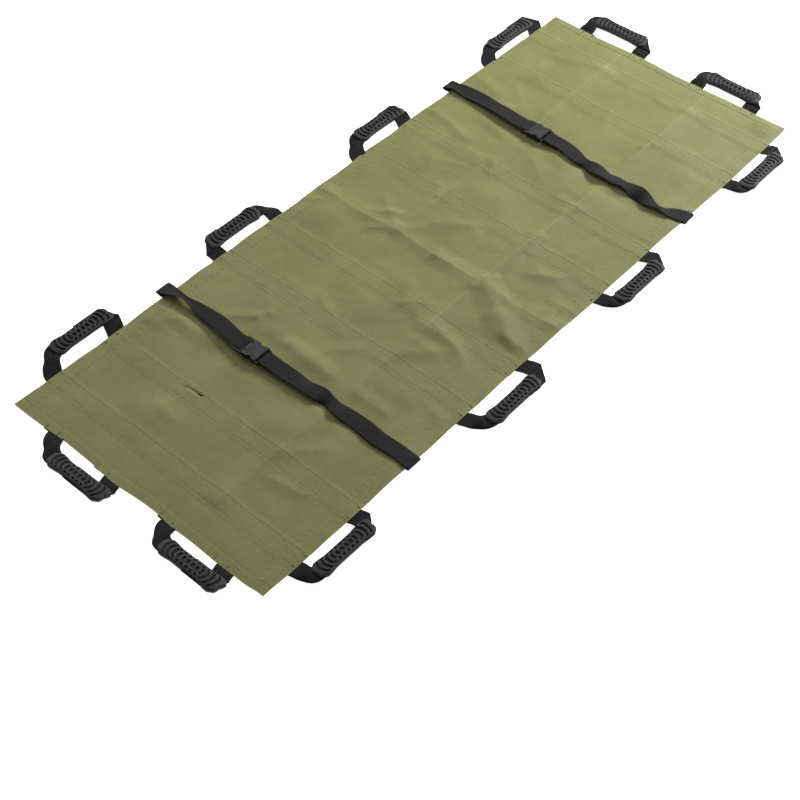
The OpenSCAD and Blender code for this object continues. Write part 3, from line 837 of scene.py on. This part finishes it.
def curved_leg(s, hem_u, lean, reach, seed):
    """The leg that sweeps round into the grip, in the handle's own plane."""
    mouth = lean + s * GRIP_HALF
    root = np.array([[hem_u, -16.0], [hem_u, -9.0], [hem_u, -2.0]])
    slant = max(0.0, abs(mouth - hem_u) - 22) * np.sign(mouth - hem_u)
    bend_points = [np.array(q, float) for q in (
        (hem_u + 0.08 * slant, 2), (hem_u + 0.8 * slant, 21),
        (mouth + s * max(4.0, 14 - 0.35 * abs(slant)), reach - 1), (mouth - s * 10, reach))]
    path = np.vstack([root, bezier(*bend_points, 34)])
    run = distances(path)
    run /= run[-1]
    bend = np.exp(-((run - 0.62) / 0.19) ** 2)
    lift = hem_drop(path[:, 1]) + 3.8 * bend * (0.8 + 0.2 * math.cos(seed))
    centres = np.stack([path[:, 0], path[:, 1], lift], -1)
    direction = unit(np.gradient(path, axis=0))
    across = np.stack([direction[:, 1], -direction[:, 0], np.zeros(len(path))], -1)
    across[:, 2] += -s * 0.22 * bend * (0.8 + 0.2 * math.sin(seed))
    width = 39.5 - 5.5 * bend - 2.5 * smooth(0.8, 1.0, run)
    curl = 0.95 * bend + 0.10 * np.sin(run * 9 + seed)
    return centres, across, width, curl


def folded_leg(s, hem_u, corner_u, reach):
    """The leg that goes straight out and is folded over on a slant to lie along the grip."""
    corner = np.array([float(corner_u), reach + 0.5])
    hem = np.array([float(hem_u), 0.0])
    d1 = unit(corner - hem)
    start = hem - d1 * (14.0 / d1[1])
    d2 = np.array([-s, 0.0])
    f = unit(d1 + d2)
    m = np.array([f[1], -f[0]])
    if m @ d1 < 0:
        m = -m
    n1 = np.array([d1[1], -d1[0]])
    length = np.linalg.norm(corner - start)
    total = length + 22 + abs(corner_u) - 60
    rho, cols = 1.1, 14
    turn_at = math.pi * rho / 2
    k = np.concatenate([np.linspace(0, length - 5, 24), np.linspace(length - 4.4, length + 4.4, 22),
                        np.linspace(length + 5, total, 18)])
    t = np.linspace(-20.5, 20.5, cols + 1)
    skew = -(n1 @ m) / (d1 @ m)
    weight = smooth(8, length - 8, k) * (1 - smooth(length + 8, total, k))
    along = k[:, None] + weight[:, None] * skew * t[None, :]
    flat = start + along[..., None] * d1 + t[None, :, None] * n1
    q = (flat - corner) @ m
    phase = np.clip((q + turn_at) / rho, 0, math.pi)
    folded = np.where(q > turn_at, -q, rho * np.sin(phase) - turn_at)
    folded = np.where(q < -turn_at, q, folded)
    rise = rho * (1 - np.cos(phase))
    place = flat + (folded - q)[..., None] * m
    z = rise - 1.0 + hem_drop(np.where(q < 0, place[..., 1], 99))
    z = z + 0.9 * np.sin(math.pi * np.clip(along / length, 0, 1)) * (q < 0)
    mid = np.concatenate([place, z[..., None]], -1)
    normal = unit(np.cross(np.gradient(mid, axis=0), np.gradient(mid, axis=1)))
    return mid, normal, along, np.broadcast_to(t, along.shape)


def slab(mid, normal, u, v, thick):
    """Points, quads and UVs of a closed band, from a grid of middle points and their normals."""
    rows, cols = mid.shape[:2]
    count = rows * cols
    points = np.vstack([(mid + normal * thick / 2).reshape(-1, 3), (mid - normal * thick / 2).reshape(-1, 3)])
    i = np.arange(count).reshape(rows, cols)
    ring = np.concatenate([i[0, :-1], i[:-1, -1], i[-1, :0:-1], i[:0:-1, 0]])
    nxt = np.roll(ring, -1)
    walls = np.stack([ring, nxt, nxt + count, ring + count], -1)
    quads = np.vstack([grid_faces(rows, cols, flip=True), grid_faces(rows, cols, count), walls])
    return points, outwards(points, [quads])[0], np.tile(np.stack([u, v], -1).reshape(-1, 2), (2, 1))


masters = {s: grip_mesh(s) for s in (-1, 1)}
for index, handle in enumerate(HANDLES):
    name, turn, along, lean, folded, panel, curved_u, folded_u, corner_u, reach = handle
    origin, axes = handle_frame(turn, along)
    centres, across, width, curl = curved_leg(-folded, curved_u, lean, reach, index * 1.7)
    sweep = ribbon(origin + centres @ axes, across @ axes, width, 1.5, curl)
    mid, normal, u, v = folded_leg(folded, folded_u, corner_u, reach)
    mitre = slab(origin + mid @ axes, normal @ axes, u, v, 1.4)
    loop = webbing_object("webbing_" + name, WEBBING_MAT, sweep, mitre)
    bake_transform(loop)
    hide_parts("loop_" + name)
    grip = placed("tread_" + name, masters[folded].data)
    basis = np.eye(4)
    basis[:3, :3] = axes.T
    basis[:3, 3] = (origin + np.array([lean, reach, 0.0]) @ axes) * MM
    grip.matrix_world = Matrix(basis.tolist())
    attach(grip, "handle_" + name)
    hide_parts("grip_" + name)
for o in masters.values():
    bpy.data.objects.remove(o)

# the end handles' webbing goes on under the sheet
for n, body in MEMBERS:
    if n.startswith("end_tabs"):
        low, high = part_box(n)
        x = np.linspace(low[0], high[0], 8) / MM
        under_band(n, body, [0, 1.0, 0], [
            np.stack([x, np.full(8, (low[1] + high[1]) / 2 / MM + s * LEG), np.full(8, UNDER_Z)], -1)
            for s in (-1, 1)])


# ---------------------------------------------------------------- patient straps and buckles

BUCKLE_Y, BUCKLE_Z = 89.0, 11.0


def strap(end, side, path, drift, roll, curl, pinch, fold=None):
    """One half of a patient strap. path holds (y, z); drift, roll, curl and pinch are functions of y.

    A left half stays where it is made; a right half given a fold does too, and the fold's numbers are not
    used; any other right half rides on its end's crease."""
    middle, crease = (-STRAP_X if end == "foot" else STRAP_X), end + "_crease"
    y, z = catmull(path, 3.0).T
    centres = np.stack([middle + drift(y), y, z], -1)
    run = distances(np.stack([y, z], -1))
    above = smooth(0, 26, run - run[int(np.argmax(np.abs(y)))])
    angle = (roll(y) * above)[:, None]
    flat = np.tile([1.0, 0, 0], (len(y), 1))
    normal = np.cross(unit(np.gradient(centres, axis=0)), flat)
    across = flat * np.cos(angle) + normal * np.sin(angle)
    made = webbing_object("strap_%s_%s_half" % (end, side), STRAP_MAT, ribbon(
        centres, across, WEBBING - pinch(y) * above, 1.5, curl(y) * above, cols=14))
    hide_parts("%s_strap_%s" % (end, side))
    if side == "left":
        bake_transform(made)
    elif fold:
        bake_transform(made)
    else:
        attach(made, crease)


def bells(*humps):
    """A function of y that is the sum of (height, at, spread) humps."""
    return lambda y: sum(tall * np.exp(-((y - at) / spread) ** 2) for tall, at, spread in humps)


LEFT_HEM = [(290, 0.8), (330, 0.8), (366, 0.9), (373.2, 2.2), (373.6, 4.4), (366, 6.0)]
LEFT_LOCK = [(v + BUCKLE_Y, w + BUCKLE_Z) for v, w in (
    (52, 3.2), (40, 3.1), (34, 3.0), (29, 2.9), (27.8, .6), (26.6, -2.9), (24, -3.3), (21.1, -2.9),
    (19.3, -.6), (19.9, 2.5), (24.1, 3.0), (27.7, 4.9), (33.5, 5.0))]
RIGHT_HEM = [(-290, 0.8), (-330, 0.8), (-350, 0.9), (-356.6, 2.2), (-357, 4.2), (-350, 5.6)]
RIGHT_BAR = [(17, 12.2), (37, 12.8)] + [(v + BUCKLE_Y, w + BUCKLE_Z) for v, w in (
    (-37, 2.6), (-31.5, 2.9), (-28.4, 0), (-31.5, -2.9), (-37, -2.2), (-55, -1.2), (-70, -0.9))]


def wander(*knots):
    """How far a strap lies aside of its middle line, as a smooth curve through (y, aside) knots."""
    at, aside = np.array(sorted(knots), float).T
    way = np.gradient(aside, at)

    def aside_at(y):
        k = np.clip(np.searchsorted(at, y) - 1, 0, len(at) - 2)
        gap = at[k + 1] - at[k]
        t = np.clip((y - at[k]) / gap, 0, 1)
        return (aside[k] * (1 + 2 * t) * (1 - t) ** 2 + aside[k + 1] * t * t * (3 - 2 * t)
                + gap * t * (1 - t) * (way[k] * (1 - t) - way[k + 1] * t))
    return aside_at


strap("foot", "left",
      LEFT_HEM + [(350, 9), (326, 12), (296, 12.5), (262, 11), (225, 12.5), (185, 15.5)] + LEFT_LOCK,
      wander((140, 0), (158, 2), (187, 6), (220, 9), (253, 10), (291, 10), (326, 9), (350, 7), (372, 7)),
      bells((-0.42, 312, 30), (0.06, 215, 26)), bells((1.2, 304, 34)), bells((19, 302, 36), (3, 245, 30)))
strap("foot", "right",
      RIGHT_HEM + [(-325, 6.6), (-285, 8.2), (-240, 9.5), (-195, 8.0), (-150, 10.5), (-108, 13), (-60, 10.5),
                   (-20, 11)] + RIGHT_BAR,
      wander((-350, -3), (-313, -2), (-262, -4), (-203, 1), (-153, 0), (-113, 3), (-55, 2), (10, 0), (30, 0)),
      bells((0.18, -52, 20), (-0.36, -116, 16), (0.20, -150, 16), (-0.12, -228, 30)),
      bells((0.45, -60, 22), (0.8, -122, 18), (0.15, -200, 40)), bells((9, -128, 20)))
strap("head", "left",
      LEFT_HEM + [(345, 8.5), (312, 8.6), (270, 11.0), (228, 13.5), (185, 15.5)] + LEFT_LOCK,
      wander((140, 0), (153, 0), (213, 4), (286, 9), (330, 8), (372, 6)),
      bells((0.10, 300, 40), (-0.08, 220, 24)), bells((0.22, 270, 60), (0.7, 345, 22)), bells((10, 348, 20)))
strap("head", "right",
      RIGHT_HEM + [(-322, 8.0), (-290, 12.6), (-262, 13.6), (-235, 14.2), (-205, 12.2), (-160, 10.5),
                   (-115, 13), (-70, 10.5), (-25, 11)] + RIGHT_BAR,
      wander((-357, -9), (-340, -13), (-304, -28), (-271, -31), (-230, -26), (-184, -16), (-149, -18),
             (-104, -18), (-39, -11), (-8, -3), (10, 0), (30, 0)),
      bells((-0.50, -228, 22), (0.34, -130, 22), (-0.30, -72, 18), (0.25, -178, 16), (0.30, -292, 24)),
      bells((0.5, -236, 22), (0.5, -140, 28), (0.6, -66, 20), (0.9, -284, 22)),
      bells((18, -284, 28), (12, -66, 20), (8, -176, 26)), fold=(0.4541, 0.4641))

for n, o in frame["nodes"].items():
    if "receiver" in n or "plug" in n or "latch_arm" in n:
        o.data.materials.clear()
        o.data.materials.append(PLASTIC_MAT)
        bevel = o.modifiers.new("rounded_edges", "BEVEL")
        bevel.width = 0.0005
        bevel.segments = 2
        bevel.limit_method = "ANGLE"
        bevel.angle_limit = math.radians(40)
        o.data.polygons.foreach_set("use_smooth", np.zeros(len(o.data.polygons), bool))


# ---------------------------------------------------------------- floor, light and camera

floor_mat = nodes_of("studio_floor", Roughness=0.9, Specular_IOR_Level=0.1, Base_Color=(0.93, 0.93, 0.93, 1),
                     Emission_Color=(1, 1, 1, 1), Emission_Strength=0.85)[0]
FLOOR, FLOOR_Z = 30000, -0.4
floor_corners = [(sx * FLOOR, sy * FLOOR, FLOOR_Z) for sx, sy in ((-1, -1), (1, -1), (1, 1), (-1, 1))]
mesh_object("floor", floor_corners, np.array([[0, 1, 2, 3]]), floor_mat)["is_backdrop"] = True

world = bpy.data.worlds.new("studio")
bpy.context.scene.world = world
world.use_nodes = True
fed(world.node_tree, world.node_tree.nodes["Background"], {0: (1.0, 1.0, 1.0, 1), 1: 0.40})


def area_light(name, place, target, size, power):
    data = bpy.data.lights.new(name, "AREA")
    data.shape = "SQUARE"
    data.size = size
    data.energy = power
    o = placed(name, data)
    o.location = place
    o.rotation_mode = "QUATERNION"
    o.rotation_quaternion = (Vector(target) - Vector(place)).to_track_quat("-Z", "Y")
    o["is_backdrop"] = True


area_light("key", (3.7, -0.3, 1.9), (0.0, 0.0, 0.0), 1.1, 350)
area_light("fill", (0.6, 3.8, 1.8), (0.0, 0.0, 0.0), 1.6, 110)

camera = placed("camera", bpy.data.cameras.new("camera"))
camera.data.sensor_width = 36.0
camera.data.lens = 68.19
forward = Vector((0.5024, 0.4274, -0.7516)).normalized()
upward = Vector((0.5615, 0.4998, 0.6595)).normalized()
right = forward.cross(upward).normalized()
upward = right.cross(forward).normalized()
camera.matrix_world = Matrix((
    (right.x, upward.x, -forward.x, -1.9229),
    (right.y, upward.y, -forward.y, -1.5400),
    (right.z, upward.z, -forward.z, 2.3160),
    (0, 0, 0, 1),
))
bpy.context.scene.camera = camera
bpy.context.scene.view_settings.view_transform = "Standard"

bpy.context.view_layer.update()
low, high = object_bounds()
